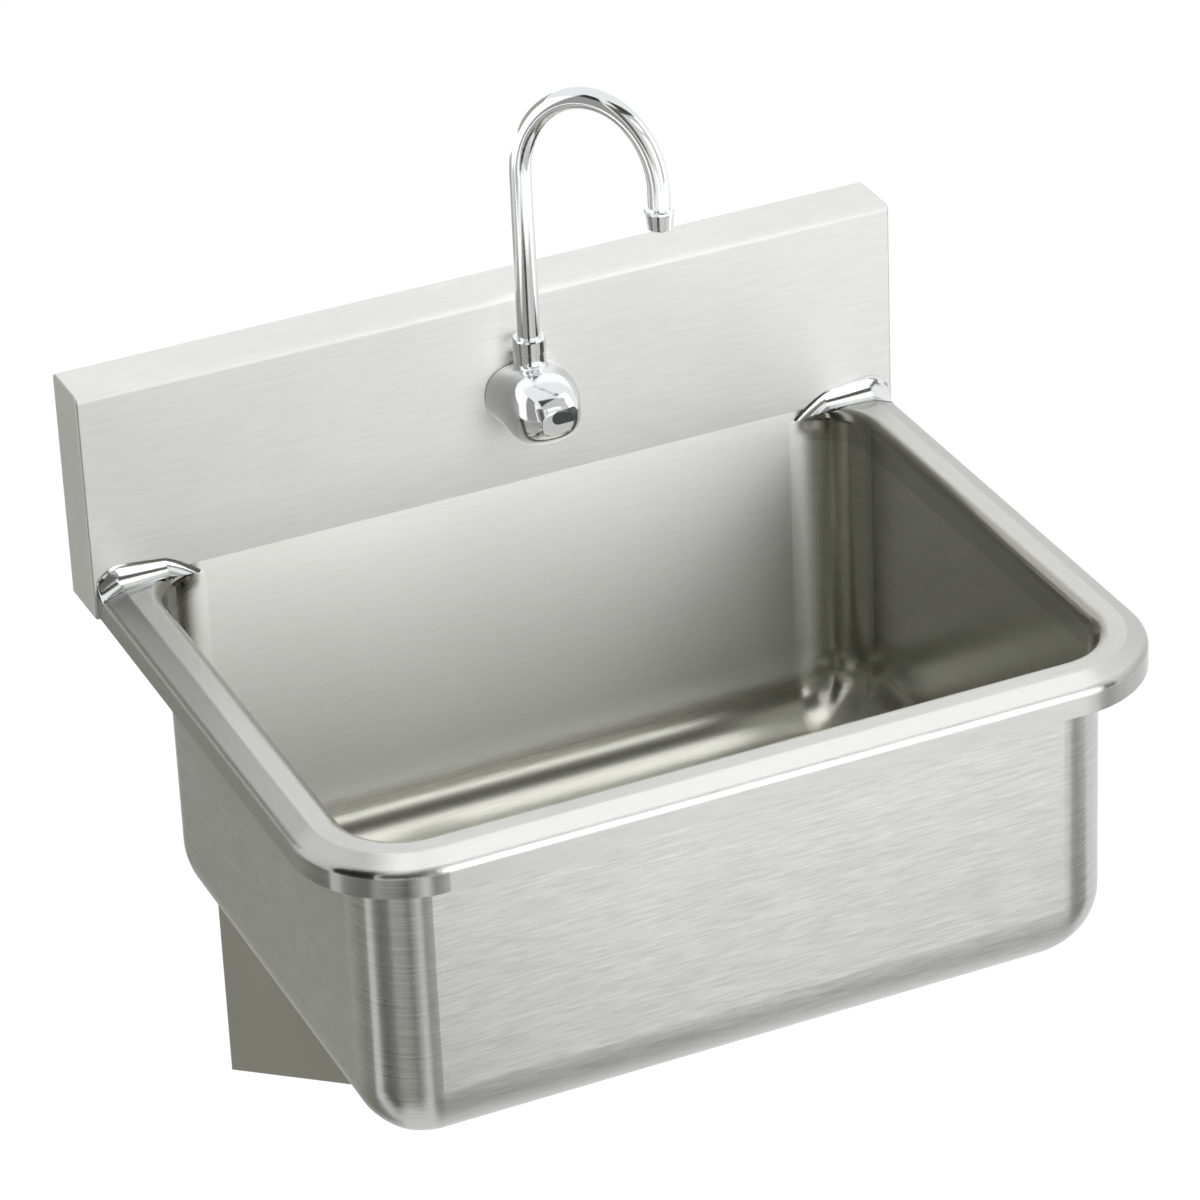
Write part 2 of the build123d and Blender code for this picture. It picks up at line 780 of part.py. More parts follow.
def spout_tube():
    path = spout_path()
    start = Plane(origin=(tap_x, neck_y, z_foot_top), z_dir=(0, 0, 1))
    section = start.location * (Circle(tube_radius) - Circle(tube_radius - tube_wall))
    return sweep(section, path=path)


def spout_collar():
    """Collar brazed on the tube: it turns between the bush and the coupling nut."""
    collar = ring(collar_radius, tube_radius + 0.01, collar_height)
    return place(collar, (tap_x, neck_y, z_neck + bush_height + coupling_thread))


turn = math.radians(swivel_rest)
outlet_x = tap_x + 2 * arch_half_width * math.sin(turn)
outlet_y = neck_y - 2 * arch_half_width * math.cos(turn)
z_tube_end = z_tap + arch_rise - tip_straight
z_outlet = z_tube_end + outlet_grip - outlet_length


def at_outlet(profile):
    return place(revolved(profile), (outlet_x, outlet_y, z_outlet))


def outlet_collar():
    """Tapered outlet collar over the tube's tip, with a rim that carries the aerator."""
    grip = outlet_length - outlet_grip
    return at_outlet([
        (outlet_bottom - 2.0, 0),
        (outlet_bottom - 0.5, 0),
        (outlet_bottom, 0.6),
        (outlet_top - 0.3, outlet_length - 2.6),
        (outlet_top, outlet_length - 2.2),
        (outlet_top, outlet_length - 0.5),
        (outlet_top - 0.5, outlet_length),
        (tube_radius + 0.01, outlet_length),
        (tube_radius + 0.01, grip - 1.0),
        (outlet_bottom - 1.2, grip - 1.0),
        (outlet_bottom - 1.2, 0.8),
        (outlet_bottom - 2.0, 0.8),
    ])


def aerator_washer():
    grip = outlet_length - outlet_grip
    washer = ring(tube_radius - 0.02, 6.0, 1.0)
    return place(washer, (outlet_x, outlet_y, z_outlet + grip - 1.0))


def aerator_insert():
    """Plastic insert with a ring of jets."""
    grip = outlet_length - outlet_grip
    insert = rod(outlet_bottom - 1.25, grip - 1.0 - 0.8)
    for radius, count in ((0, 1), (2.6, 6), (5.3, 12)):
        for index in range(count):
            angle = 2 * math.pi * index / count
            spot = Location((radius * math.cos(angle), radius * math.sin(angle), 0))
            insert = insert - rod(0.8, 10).moved(spot)
    return place(insert, (outlet_x, outlet_y, z_outlet + 0.8))


def drain_gasket():
    return place(ring(drain_flange - 2, drain_tube + 0.1, gasket_sheet), (0, drain_y, z_seat - sheet - gasket_sheet))


def friction_washer():
    low = z_seat - sheet - gasket_sheet - slip_sheet
    return place(ring(drain_flange - 3, drain_tube + 0.1, slip_sheet), (0, drain_y, low))


def drain_locknut():
    low = z_seat - sheet - gasket_sheet - slip_sheet - locknut_height
    nut = locknut(drain_flange - 6, drain_tube + thread_gap, locknut_height, 4, 4.5)
    return place(nut, (0, drain_y, low))


def tail_washer():
    washer = ring(drain_tube - 0.3, drain_bore + 0.2, tail_seal)
    return place(washer, (0, drain_y, z_drain_end - tail_seal))


def tailpiece():
    """Thin tube with a flange clamped under the drain body, necked where the nut runs."""
    top = z_drain_end - tail_seal
    neck_end = top - tail_flange - slip_nut_lip - 0.5
    profile = [
        (tail_radius - tail_wall, top - tail_length),
        (tail_radius, top - tail_length),
        (tail_radius, neck_end),
        (tail_neck, neck_end),
        (tail_neck, top - tail_flange),
        (drain_tube - 0.3, top - tail_flange),
        (drain_tube - 0.3, top),
        (tail_radius - tail_wall, top),
    ]
    return revolved(profile).moved(Location((0, drain_y, 0)))


def slip_nut():
    """Nut that holds the tailpiece's flange against the drain body."""
    low = z_drain_end - tail_seal - tail_flange - slip_nut_lip
    high = z_drain_end + 10.0
    nut = locknut(slip_nut_radius, drain_tube + thread_gap, high - low, 8, 2.5)
    lip = ring(drain_tube + 1, tail_radius + 0.1, slip_nut_lip)
    return place(nut + lip, (0, drain_y, low))


os.makedirs("parts", exist_ok=True)

right_bracket = bracket_right()
right_cap = end_cap_right()

nodes = {
    "bowl_shell": bowl_shell(),
    "backsplash_panel": backsplash_panel(),
    "end_cap_right": right_cap,
    "end_cap_left": mirrored(right_cap),
    "wall_hanger_rail": wall_hanger(),
    "gusset_bracket_right": right_bracket,
    "gusset_bracket_left": mirrored(right_bracket),
    "bowl_weld_studs": at_studs(weld_stud(), 0),
    "bracket_washers": at_studs(stud_washer(), bracket_sheet),
    "bracket_nuts": at_studs(stud_nut(), bracket_sheet + washer_sheet),
    "drain_body": drain_body(),
    "drain_grid_strainer": grid_strainer(),
    "drain_gasket": drain_gasket(),
    "drain_friction_washer": friction_washer(),
    "drain_locknut": drain_locknut(),
    "tailpiece_washer": tail_washer(),
    "drain_tailpiece": tailpiece(),
    "drain_slip_nut": slip_nut(),
    "tap_body": tap_body(),
    "tap_base_gasket": tap_gasket_ring(),
    "tap_shank": tap_shank(),
    "tap_shank_washer": shank_washer_ring(),
    "tap_shank_locknut": shank_locknut(),
    "tap_sensor_lens": sensor_lens(),
    "tap_sensor_module": sensor_module(),
    "tap_set_screw": grub_screw(),
    "valve_service_plug": service_plug(),
    "valve_coil_housing": coil_housing(),
    "valve_plunger": plunger(),
    "valve_plunger_seal": plunger_seal(),
    "neck_bush": neck_bush(),
    "neck_coupling_nut": coupling_nut(),
    "spout_foot": spout_foot(),
    "spout_o_rings": spout_o_rings(),
    "spout_tube": spout_tube(),
    "spout_retaining_collar": spout_collar(),
    "spout_outlet_collar": outlet_collar(),
    "aerator_washer": aerator_washer(),
    "aerator_insert": aerator_insert(),
}

for name, shape in nodes.items():
    pieces = shape if isinstance(shape, list) else [shape]
    found = [s for piece in pieces for s in piece.solids()]
    print(name, len(found), [round(s.volume) for s in found][:4], all(s.is_valid for s in found))
    export_step(Compound(children=found), "parts/" + name + ".step")
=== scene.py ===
# %% [markdown]
# # A wall-hung hand sink, dressed in Blender
#
# The sink arrives as a finished CAD assembly. Every sheet, nut and washer is already the
# right size and in the right place, in metres, with the origin on the wall at the hanger
# rail. This lesson gives each piece its finish, rebuilds a few pieces that follow a rule,
# and then sets up the studio. The first cell loads the frame and its record, and gives a
# way to read each part's box.

# %% Load the frame
import bpy
import json
import math
from mathutils import Matrix, Vector


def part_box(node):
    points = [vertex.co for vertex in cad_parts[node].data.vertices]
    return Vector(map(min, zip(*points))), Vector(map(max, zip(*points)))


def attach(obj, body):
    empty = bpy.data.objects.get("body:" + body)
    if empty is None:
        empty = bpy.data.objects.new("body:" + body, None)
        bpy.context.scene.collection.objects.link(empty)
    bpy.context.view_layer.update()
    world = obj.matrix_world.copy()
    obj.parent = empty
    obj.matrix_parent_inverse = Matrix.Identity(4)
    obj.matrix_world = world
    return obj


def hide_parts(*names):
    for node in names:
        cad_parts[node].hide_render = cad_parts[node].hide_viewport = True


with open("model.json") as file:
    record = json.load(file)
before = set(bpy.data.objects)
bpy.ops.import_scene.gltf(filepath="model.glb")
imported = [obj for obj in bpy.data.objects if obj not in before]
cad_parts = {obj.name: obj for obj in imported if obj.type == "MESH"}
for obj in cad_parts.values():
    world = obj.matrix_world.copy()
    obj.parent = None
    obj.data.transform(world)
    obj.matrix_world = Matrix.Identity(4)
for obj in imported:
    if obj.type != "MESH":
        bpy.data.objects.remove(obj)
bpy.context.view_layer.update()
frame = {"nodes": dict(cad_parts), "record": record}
nodes = frame["nodes"]

# %% [markdown]
# Every finish below is a small node tree. Writing the same few lines for each one would
# hide what is different about it, so two helpers do the plumbing: one opens an empty
# material with its shader, the other adds a node, sets its fields and joins its inputs.

# %% Helpers for node materials
def new_material(name, color, metallic, roughness):
    """An empty material with one shader whose plain values are set on its own sockets."""
    material = bpy.data.materials.new(name)
    material.use_nodes = True
    tree = material.node_tree
    shader = tree.nodes["Principled BSDF"]
    shader.inputs["Base Color"].default_value = (*color, 1.0)
    shader.inputs["Metallic"].default_value = metallic
    shader.inputs["Roughness"].default_value = roughness
    return material, tree, shader


def add(tree, kind, inputs=None, **fields):
    """Add a node, set its fields, then set or join each named or numbered input."""
    node = tree.nodes.new(kind)
    for field, value in fields.items():
        setattr(node, field, value)
    for key, value in (inputs or {}).items():
        socket = node.inputs[key]
        if isinstance(value, bpy.types.NodeSocket):
            tree.links.new(value, socket)
        else:
            socket.default_value = value
    return node


def math_node(tree, operation, a, b=0.0):
    return add(tree, "ShaderNodeMath", {0: a, 1: b}, operation=operation).outputs[0]


def spread(tree, value, low, high, new_low, new_high):
    """Map a value from one range to another, clamped at both ends."""
    node = add(
        tree, "ShaderNodeMapRange",
        {"Value": value, "From Min": low, "From Max": high, "To Min": new_low, "To Max": new_high},
    )
    return node.outputs["Result"]


print("helpers ready")

# %% [markdown]
# Most finishes below differ from place to place on one sheet. The sizes here are the ones
# those places are found by: heights of the rim, lip and bowl floor, the front of the
# backsplash, and the level rectangle in the bowl's middle that its corners are drawn round.

# %% Sizes that the finishes go by
z_top = 0.0381
z_rim = z_top - 0.1506
z_lip = z_rim - 0.0257
z_floor = z_rim - 0.259
y_splash = -0.0468
bowl_half = 0.2811
core = {"x": 0.2375, "front": -0.4153, "back": -0.0918}


def split(tree, vector):
    return add(tree, "ShaderNodeSeparateXYZ", {0: vector}).outputs


def join(tree, x, y, z):
    return add(tree, "ShaderNodeCombineXYZ", {0: x, 1: y, 2: z}).outputs[0]


def vector_node(tree, operation, a, b=(0, 0, 0)):
    return add(tree, "ShaderNodeVectorMath", {0: a, 1: b}, operation=operation).outputs


def noise_node(tree, place, scale, **inputs):
    sockets = {"Vector": place, "Scale": scale, **inputs}
    return add(tree, "ShaderNodeTexNoise", sockets).outputs["Fac"]


def times(tree, a, b):
    return math_node(tree, "MULTIPLY", a, b)


def less(tree, share):
    """Where the share isn't."""
    return math_node(tree, "SUBTRACT", 1.0, share)


def towards(tree, share, plain, there):
    return add(tree, "ShaderNodeMix", {0: share, 2: plain, 3: there}, data_type="FLOAT").outputs[0]


def outwards(tree, place):
    """Level vector from the bowl's middle rectangle to the point, nothing inside it."""
    x_held = spread(tree, place["X"], -core["x"], core["x"], -core["x"], core["x"])
    y_held = spread(tree, place["Y"], core["front"], core["back"], core["front"], core["back"])
    x = math_node(tree, "SUBTRACT", place["X"], x_held)
    return join(tree, x, math_node(tree, "SUBTRACT", place["Y"], y_held), 0.0)


print("rim at", round(z_rim, 4), "bowl floor at", round(z_floor, 4))

# %% [markdown]
# Brushed sheet steel gets its look from thousands of fine parallel scratches left by a
# belt. They do two things. They scatter light across themselves, so each highlight is
# drawn out sideways to the scratches, and they show as a faint grain. The belt runs along
# the backsplash, and on the drawn bowl it follows the rim round its corners.
#
# The shader's anisotropy makes the drawn-out highlights, and it needs the direction
# across the scratches. Crossing the surface's normal with "up" gives the belt's direction
# on every upright or sloping face. On level faces that cross product is nothing, so a
# small share of the direction round the bowl is added, which decides there. The grain
# is a noise squeezed across the scratches. It is measured outwards from the bowl's middle
# rectangle, so that it bends round the corners as the belt does.

# %% Belt direction and grain
grain_along, grain_across = 42.0, 760.0
sheet_hint, bowl_hint = 0.03, 0.06


def belt_grain(tree, place, facing, normal, unit=None, length=None):
    """Where the belt ran: the shader's tangent, and a height for the grain's own noise."""
    hint = join(tree, sheet_hint, 0.0, 0.0)
    across = place["Y"]
    if unit:
        round_bowl = vector_node(tree, "CROSS_PRODUCT", (0, 0, bowl_hint), unit)[0]
        hint = vector_node(tree, "ADD", hint, round_bowl)[0]
        level = spread(tree, facing["Z"], 0.6, 0.9, 0.0, 1.0)
        at_floor = spread(tree, place["Z"], z_floor + 0.04, z_floor + 0.06, 1.0, 0.0)
        across = towards(tree, times(tree, level, at_floor), length, place["Y"])
    belt = vector_node(tree, "CROSS_PRODUCT", (0, 0, 1), normal)[0]
    belt = vector_node(tree, "ADD", belt, hint)[0]
    along = math_node(tree, "ADD", place["X"], place["Y"])
    stretched = join(
        tree, times(tree, along, grain_along), times(tree, across, grain_across),
        times(tree, place["Z"], grain_across),
    )
    lines = noise_node(tree, stretched, 1.0, Detail=2.0, Roughness=0.7)
    return vector_node(tree, "CROSS_PRODUCT", normal, belt)[0], lines


print("grain stretched", round(grain_across / grain_along), "to 1")

# %% [markdown]
# The drawn shell is one sheet, yet five places on it are finished differently. The inside
# is polished, except its upright back, which is belted with the backsplash. The rim is a
# little smoother than the outside. The outer corners are blended by hand and so are
# smoother too. The two coves that join rim and backsplash are buffed. Each place is a
# share from 0 to 1, worked out from where the point is and which way its surface faces,
# so no picture or painted map is needed. A further share marks the rim's sideways faces.
# Several shares also carry painted light and shade in the steel's tone, in the next cell.

# %% Places on the drawn shell
def shell_places(tree, place, facing, normal, unit):
    facing_in = vector_node(tree, "DOT_PRODUCT", unit, normal)["Value"]
    below_rim = spread(tree, place["Z"], z_rim - 0.04, z_rim - 0.015, 1.0, 0.0)
    level = times(tree, spread(tree, facing["Z"], 0.3, 0.6, 0.0, 1.0), below_rim)
    inside = math_node(tree, "MAXIMUM", spread(tree, facing_in, -0.3, -0.05, 1.0, 0.0), level)
    back = times(
        tree, spread(tree, place["Y"], y_splash - 0.012, y_splash - 0.003, 0.0, 1.0),
        spread(tree, facing["Y"], -0.97, -0.85, 1.0, 0.0),
    )
    rim = spread(tree, place["Z"], z_lip - 0.001, z_lip + 0.0005, 0.0, 1.0)
    slant = math_node(tree, "ABSOLUTE", times(tree, facing["X"], facing["Y"]))
    near_wall = spread(tree, place["Y"], y_splash - 0.0125, y_splash - 0.0085, 0.0, 1.0)
    at_rim = spread(tree, place["Z"], z_rim - 0.022, z_rim - 0.014, 0.0, 1.0)
    wide = math_node(tree, "ABSOLUTE", place["X"])
    outer = spread(tree, wide, bowl_half - 0.045, bowl_half - 0.035, 0.0, 1.0)
    return {
        "back": back,
        "polished": times(tree, inside, less(tree, back)),
        "rim": rim,
        # the rim's sideways faces, marked only for painted shade
        "rim_side": times(tree, rim, math_node(tree, "ABSOLUTE", facing["X"])),
        # the outer corners: smoother, and also painted darker
        "corner": times(tree, spread(tree, slant, 0.1, 0.35, 0.0, 1.0), less(tree, inside)),
        "cove": times(tree, times(tree, near_wall, at_rim), outer),
    }


print("five places on the shell")

# %% [markdown]
# The steel itself is one function. It always lays down the grain, and on the drawn shell
# it then changes roughness, tone and anisotropy place by place. Part of that tone is
# painted light and shade: the upright back is painted lighter, and the polished inside,
# the rim's sideways faces and the outer corners are painted darker, as the room's
# reflections fall on them. The polished inside also takes a painted olive tint, the
# colour of the room's darker parts that it reflects.

# %% Brushed stainless steel
plain_anisotropy, shell_anisotropy = 0.8, 0.86
# Tone factors below 1 are painted shade and above 1 painted light; the blue factor paints an olive
# reflection.
polished_rough, polished_painted_shade, polished_painted_olive = 0.22, 0.74, 0.92
back_rougher, back_painted_light = 0.17, 1.5
rim_smoother, rim_flank_painted_shade = 0.05, 0.82
corner_smoother, corner_painted_shade = 0.13, 0.8
cove_rough = 0.08


def toned(tree, tone, share, factor):
    return times(tree, tone, spread(tree, share, 0, 1, 1.0, factor))


def finished_shell(tree, places, roughness, tone, lines, color):
    """The drawn shell's roughness, tone, colour and anisotropy, with painted light and shade in
    its tone and colour.
    """
    back, polished, corner = places["back"], places["polished"], places["corner"]
    roughness = math_node(tree, "SUBTRACT", roughness, times(tree, places["rim"], rim_smoother))
    roughness = math_node(tree, "ADD", roughness, times(tree, back, back_rougher))
    roughness = towards(tree, polished, roughness, polished_rough)
    roughness = math_node(tree, "SUBTRACT", roughness, times(tree, corner, corner_smoother))
    roughness = towards(tree, places["cove"], roughness, cove_rough)
    fine = spread(tree, lines, 0.3, 0.7, 0.95, 1.05)
    tone = towards(tree, math_node(tree, "MAXIMUM", back, places["rim"]), tone, fine)
    # painted light: the upright back is made lighter than the rest of the shell
    tone = toned(tree, tone, back, back_painted_light)
    # painted shade: the polished inside of the bowl is made darker
    tone = toned(tree, tone, polished, polished_painted_shade)
    # painted shade on the rim's sideways faces
    tone = times(tree, tone, spread(tree, places["rim_side"], 0.15, 0.4, 1.0, rim_flank_painted_shade))
    # painted shade on the outer corners
    tone = toned(tree, tone, corner, corner_painted_shade)
    # painted reflection: an olive tint on the polished inside, the colour of the dark room it
    # reflects
    blue = spread(tree, polished, 0, 1, color[2], polished_painted_olive * color[2])
    held = math_node(tree, "MAXIMUM", places["cove"], times(tree, polished, 0.6))
    drawn_out = spread(tree, held, 0.0, 1.0, shell_anisotropy, 0.0)
    return roughness, tone, join(tree, color[0], color[1], blue), drawn_out


def brushed_steel(name, color, rough, grain, drawn):
    """Belt-ground steel; a drawn piece has its grain bent round the bowl's corners."""
    material, tree, shader = new_material(name, color, 1.0, rough)
    coordinates = add(tree, "ShaderNodeTexCoord").outputs["Object"]
    place = split(tree, coordinates)
    normal = add(tree, "ShaderNodeNewGeometry").outputs["Normal"]
    facing = split(tree, normal)
    unit = length = None
    if drawn:
        out = outwards(tree, place)
        unit = vector_node(tree, "NORMALIZE", out)[0]
        length = vector_node(tree, "LENGTH", out)["Value"]
    tangent, lines = belt_grain(tree, place, facing, normal, unit, length)
    cloud = noise_node(tree, coordinates, 9.0, Detail=3.0)
    streaks = spread(tree, lines, 0.3, 0.7, 1.0 - grain, 1.0 + grain)
    tone = math_node(tree, "ADD", streaks, spread(tree, cloud, 0.3, 0.7, -0.02, 0.02))
    roughness = spread(tree, lines, 0.25, 0.75, rough - 0.03, rough + 0.03)
    shader.inputs["Anisotropic"].default_value = plain_anisotropy
    shade = color
    if drawn:
        places = shell_places(tree, place, facing, normal, unit)
        roughness, tone, shade, drawn_out = finished_shell(
            tree, places, roughness, tone, lines, color
        )
        tree.links.new(drawn_out, shader.inputs["Anisotropic"])
    scaled = {0: shade, "Scale": tone}
    steel = add(tree, "ShaderNodeVectorMath", scaled, operation="SCALE").outputs[0]
    tree.links.new(tangent, shader.inputs["Tangent"])
    tree.links.new(steel, shader.inputs["Base Color"])
    tree.links.new(roughness, shader.inputs["Roughness"])
    print("brushed steel:", name)
    return material


stainless = brushed_steel("satin_stainless", (0.66, 0.663, 0.645), 0.38, 0.11, True)
# The flat sheet's lighter base colour is painted light that brightens the backsplash and end caps.
sheet_steel = brushed_steel("satin_sheet", (0.78, 0.783, 0.762), 0.55, 0.05, False)
bracket_steel = brushed_steel("bracket_stainless", (0.45, 0.45, 0.40), 0.5, 0.03, False)

# %% [markdown]
# Chrome plate is nearly a mirror, so its look comes from the room. A trace of waviness
# keeps the reflections from being perfectly straight, as on cast and polished brass, and
# a thin haze softens their edges. The same recipe, rougher, serves the buffed coves.

# %% Chrome plate
def chrome_plate(name, rough, wave):
    material, tree, shader = new_material(name, (0.80, 0.807, 0.815), 1.0, rough)
    coordinates = add(tree, "ShaderNodeTexCoord").outputs["Object"]
    soft = noise_node(tree, coordinates, 55.0)
    bump = add(tree, "ShaderNodeBump", {"Height": soft, "Strength": wave, "Distance": 0.001})
    tree.links.new(bump.outputs["Normal"], shader.inputs["Normal"])
    smear = noise_node(tree, coordinates, 240.0, Detail=4.0)
    tree.links.new(spread(tree, smear, 0.3, 0.7, rough, rough + 0.015), shader.inputs["Roughness"])
    return material


chrome = chrome_plate("bright_chrome", 0.085, 0.008)
print("chrome ready")

# %% [markdown]
# The plain finishes share one recipe: a base colour with a little cloudy variation, and a
# roughness that follows the same noise. Only the numbers differ between zinc, brass,
# rubber and moulded plastic.

# %% Zinc, brass, rubber and plastics
def plain_finish(name, color, metallic, rough, scale, variation, bump_size):
    material, tree, shader = new_material(name, color, metallic, rough)
    coordinates = add(tree, "ShaderNodeTexCoord").outputs["Object"]
    noise = noise_node(tree, coordinates, scale, Detail=5.0)
    tone = spread(tree, noise, 0.3, 0.7, 1.0 - variation, 1.0 + variation)
    scaled = {0: color, "Scale": tone}
    mixed = add(tree, "ShaderNodeVectorMath", scaled, operation="SCALE").outputs[0]
    tree.links.new(mixed, shader.inputs["Base Color"])
    tree.links.new(
        spread(tree, noise, 0.3, 0.7, rough - 0.05, rough + 0.05), shader.inputs["Roughness"]
    )
    bump = add(tree, "ShaderNodeBump", {"Height": noise, "Strength": 0.2, "Distance": bump_size})
    tree.links.new(bump.outputs["Normal"], shader.inputs["Normal"])
    return material


plain_recipes = {
    "zinc_steel": ("zinc_plate", (0.60, 0.62, 0.64), 1.0, 0.38, 60.0, 0.08, 0.0001),
    "fastener_steel": ("plated_steel", (0.66, 0.66, 0.64), 1.0, 0.28, 300.0, 0.05, 0.0001),
    "brass": ("turned_brass", (0.72, 0.53, 0.24), 1.0, 0.25, 400.0, 0.06, 0.0001),
    "rubber": ("moulded_rubber", (0.035, 0.035, 0.036), 0.0, 0.6, 500.0, 0.15, 0.0002),
    "white_plastic": ("white_plastic", (0.78, 0.78, 0.75), 0.0, 0.42, 400.0, 0.03, 0.0001),
    "black_plastic": ("black_plastic", (0.04, 0.04, 0.042), 0.0, 0.45, 400.0, 0.1, 0.0001),
    "dark_window": ("dark_window", (0.085, 0.088, 0.09), 0.0, 0.22, 500.0, 0.02, 0.00002),
}
finishes = {"stainless": stainless, "bracket_steel": bracket_steel, "chrome": chrome}
for slot, recipe in plain_recipes.items():
    finishes[slot] = plain_finish(*recipe)
print("finishes:", sorted(finishes))

# %% [markdown]
# The record that came with the CAD says which slot each node belongs to, so one loop
# hands every node its finish. The backsplash and its end caps are bent from flat sheet,
# so they get the plain sheet's finish and not the drawn bowl's; that finish's lighter
# base colour is painted light on the backsplash and end caps.

# %% Give every CAD node its finish
slot_of = {entry["node"]: entry["material_slot"] for entry in frame["record"]["subparts"]}
for name, node in nodes.items():
    node.data.materials.clear()
    flat_sheet = name.startswith(("backsplash", "end_cap"))
    node.data.materials.append(sheet_steel if flat_sheet else finishes[slot_of[name]])
print("dressed", len(nodes), "nodes")

# %% [markdown]
# The spout is one length of tube drawn round a former: a straight leg, a tall arch and a
# short straight tip. Every point of its middle line follows from one number along the
# tube, so a Geometry Nodes tree can bend a straight row of points into the path and sweep
# a circle along it. This gives an even mesh, which chrome needs, since it shows each
# facet. The sizes are the tree's inputs. The tube's bore comes from a Solidify modifier.

# %% Trees and their results
def grow_tree(name, sizes):
    """An empty Geometry Nodes tree with named inputs for its sizes and its material."""
    tree = bpy.data.node_groups.new(name, "GeometryNodeTree")
    tree.interface.new_socket("Geometry", in_out="OUTPUT", socket_type="NodeSocketGeometry")
    for label, value in sizes.items():
        kind = "NodeSocketInt" if isinstance(value, int) else "NodeSocketFloat"
        tree.interface.new_socket(label, in_out="INPUT", socket_type=kind).default_value = value
    tree.interface.new_socket("Material", in_out="INPUT", socket_type="NodeSocketMaterial")
    return tree


def end_tree(tree, geometry, given):
    smooth = add(tree, "GeometryNodeSetShadeSmooth", {"Geometry": geometry}).outputs[0]
    real = add(tree, "GeometryNodeRealizeInstances", {"Geometry": smooth}).outputs[0]
    coated = add(
        tree, "GeometryNodeSetMaterial", {"Geometry": real, "Material": given["Material"]}
    ).outputs[0]
    output = tree.nodes.new("NodeGroupOutput")
    tree.links.new(coated, output.inputs["Geometry"])


def grown_mesh(tree, material, sizes, wall=0.0):
    """Run a tree with its own sizes and return the result as a plain mesh."""
    holder = bpy.data.objects.new(tree.name, bpy.data.meshes.new(tree.name))
    bpy.context.scene.collection.objects.link(holder)
    modifier = holder.modifiers.new("tree", "NODES")
    modifier.node_group = tree
    for item in tree.interface.items_tree:
        if item.in_out == "INPUT" and item.name in sizes:
            modifier[item.identifier] = sizes[item.name]
        if item.name == "Material":
            modifier[item.identifier] = material
    if wall:
        solidify = holder.modifiers.new("wall", "SOLIDIFY")
        solidify.thickness = wall
        solidify.offset = -1.0
    seen = holder.evaluated_get(bpy.context.evaluated_depsgraph_get())
    mesh = bpy.data.meshes.new_from_object(seen)
    bpy.data.objects.remove(holder)
    return mesh


def placed_piece(name, mesh, matrix, body):
    mesh.transform(matrix)
    piece = bpy.data.objects.new(name, mesh)
    bpy.context.scene.collection.objects.link(piece)
    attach(piece, body)
    print(name, len(mesh.polygons), "faces")
    return piece


# %% Spout tube
arch_half_width = 0.052
arch_half_height = 0.065
tip_straight = 0.021
tap_x = 0.020
neck_y = -0.062
z_tap = z_rim + 0.0738
spout_turn = math.radians(44.0)
foot_corner, arch_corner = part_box("spout_tube")
tube_radius = 0.00835
tube_wall = 0.0012
tube_ease = 0.00002
arch_rise = arch_corner.z - tube_radius - arch_half_height

tree = grow_tree("bent_tube", {
    "Leg": 0.1, "Rise": 0.1, "Half Width": 0.05, "Half Height": 0.05, "Tip": 0.02,
    "Radius": 0.008, "Points": 400, "Sides": 56,
})
given = tree.nodes.new("NodeGroupInput").outputs
ends = {"Start": (-1, 0, 0), "End": (2, 0, 0)}
row = add(tree, "GeometryNodeCurvePrimitiveLine", ends).outputs[0]
row = add(tree, "GeometryNodeResampleCurve", {"Curve": row, "Count": given["Points"]}).outputs[0]
along = split(tree, add(tree, "GeometryNodeInputPosition").outputs[0])["X"]
bend = times(tree, spread(tree, along, 0.0, 1.0, 0.0, 1.0), math.pi)
sideways = times(tree, given["Half Width"], less(tree, math_node(tree, "COSINE", bend)))
over = times(tree, given["Half Height"], math_node(tree, "SINE", bend))
below = times(tree, given["Leg"], math_node(tree, "MINIMUM", along, 0.0))
past = math_node(tree, "MAXIMUM", math_node(tree, "SUBTRACT", along, 1.0), 0.0)
height = math_node(tree, "ADD", math_node(tree, "ADD", given["Rise"], over), below)
height = math_node(tree, "SUBTRACT", height, times(tree, given["Tip"], past))
bent = {"Geometry": row, "Position": join(tree, sideways, 0.0, height)}
path = add(tree, "GeometryNodeSetPosition", bent).outputs[0]
circle = add(
    tree, "GeometryNodeCurvePrimitiveCircle",
    {"Radius": given["Radius"], "Resolution": given["Sides"]},
).outputs[0]
tube = add(tree, "GeometryNodeCurveToMesh", {"Curve": path, "Profile Curve": circle}).outputs[0]
end_tree(tree, tube, given)

tube_mesh = grown_mesh(tree, finishes["chrome"], {
    "Leg": arch_rise - foot_corner.z, "Rise": arch_rise, "Half Width": arch_half_width,
    "Half Height": arch_half_height, "Tip": tip_straight, "Radius": tube_radius - tube_ease,
}, wall=tube_wall)
across = Vector((math.sin(spout_turn), -math.cos(spout_turn), 0))
stand = Matrix((across, Vector((0, 0, 1)).cross(across), (0, 0, 1))).transposed().to_4x4()
stand = Matrix.Translation((tap_x, neck_y, 0)) @ stand
spout = placed_piece("spout_tube_bent", tube_mesh, stand, "spout")
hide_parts("spout_tube")

# %% [markdown]
# The threads on the drain, the tap's shank and the bracket studs are rolled ridges. A
# ridge is a spiral with a small round section, so one tree makes them all from a radius,
# a pitch and a number of turns. Each stands on its shaft between the nuts that hide the
# rest.

